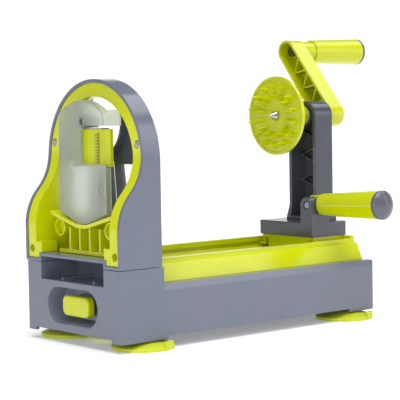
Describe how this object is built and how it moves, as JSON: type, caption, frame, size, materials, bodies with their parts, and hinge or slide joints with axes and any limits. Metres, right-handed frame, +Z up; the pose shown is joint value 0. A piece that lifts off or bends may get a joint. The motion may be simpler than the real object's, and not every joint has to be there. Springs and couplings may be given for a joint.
{
  "type": "hand cranked spiralizer",
  "caption": "Hand-cranked spiralizer: blade arch on a long suction-footed base, sliding carriage with spiked disc, crank and fold-up push handle.",
  "frame": {"origin": "on the table plane, under the middle of the base", "axes": "+Z up, +X from the blade arch to the crank, -Y towards the side where the push handle points"},
  "size_m": [0.361, 0.1793, 0.2387],
  "materials": {
    "grey_shell": "glossy moulded plastic, cool grey",
    "dark_grey": "satin moulded plastic, dark grey",
    "lime_gloss": "glossy moulded plastic, lime",
    "soft_lime": "soft moulded elastomer, lime",
    "frosted_clear": "frosted translucent plastic, pale green grey",
    "cap_grey": "satin moulded plastic, grey",
    "bearing_white": "plain acetal",
    "steel": "ground stainless steel",
    "screw_steel": "bright zinc-plated steel"
  },
  "bodies": {
    "base": {"base_housing": "grey_shell", "bottom_cover": "grey_shell", "slide_tray": "lime_gloss", "tray_screws": "screw_steel", "cover_screws": "screw_steel", "arch_housing": "grey_shell", "arch_screws": "screw_steel", "rear_frame": "dark_grey", "frame_screws": "screw_steel", "arch_trim": "lime_gloss", "trim_screws": "screw_steel", "trim_lower_screws": "screw_steel", "cartridge_seat": "lime_gloss", "seat_screws": "screw_steel", "foot_front_near": "soft_lime", "foot_front_far": "soft_lime", "foot_rear_near": "soft_lime", "foot_rear_far": "soft_lime"},
    "blade_cartridge": {"cartridge_frame": "frosted_clear", "blade_insert": "lime_gloss", "slicing_blade": "steel", "comb_blade": "steel", "coring_ring": "steel"},
    "carriage": {"carriage_base": "dark_grey", "carriage_runner": "lime_gloss", "runner_screws": "screw_steel", "column": "dark_grey", "column_screws": "screw_steel", "front_bush": "bearing_white", "rear_bush": "bearing_white", "push_pivot_screw": "screw_steel"},
    "spindle": {"spiked_disc": "lime_gloss", "spindle_shaft": "steel", "crank_arm": "lime_gloss", "crank_screw": "screw_steel", "grip_axle": "steel"},
    "crank_grip": {"crank_grip": "lime_gloss", "crank_grip_cap": "cap_grey"},
    "push_handle": {"push_handle": "lime_gloss", "push_handle_cap": "cap_grey"},
    "lock_pull": {"lock_pull": "lime_gloss"},
    "suction_pad": {"suction_pad": "soft_lime", "pad_pin": "steel"}
  },
  "joints": [
    {"name": "cartridge_slide", "type": "slide", "parent": "base", "child": "blade_cartridge", "axis": [-1, 0, 0], "range_m": [0, 0.06]},
    {"name": "carriage_slide", "type": "slide", "parent": "base", "child": "carriage", "axis": [1, 0, 0], "range_m": [-0.16, 0]},
    {"name": "crank_turn", "type": "hinge", "parent": "carriage", "child": "spindle", "pos_m": [0.0815, 0, 0.171], "axis": [1, 0, 0], "continuous": true},
    {"name": "grip_turn", "type": "hinge", "parent": "spindle", "child": "crank_grip", "pos_m": [0.1645, 0.04531, 0.22695], "axis": [1, 0, 0], "continuous": true},
    {"name": "push_handle_fold", "type": "hinge", "parent": "carriage", "child": "push_handle", "pos_m": [0.10235, -0.026, 0.0955], "axis": [1, 0, 0], "range_deg": [-88, 0]},
    {"name": "lock_pull_slide", "type": "slide", "parent": "base", "child": "lock_pull", "axis": [-1, 0, 0], "range_m": [0, 0.01]},
    {"name": "suction_pad_lift", "type": "slide", "parent": "base", "child": "suction_pad", "axis": [0, 0, 1], "range_m": [-0.003, 0]}
  ],
  "couplings": [
    {"joint": "suction_pad_lift", "follows": "lock_pull_slide", "ratio": -0.3}
  ]
}
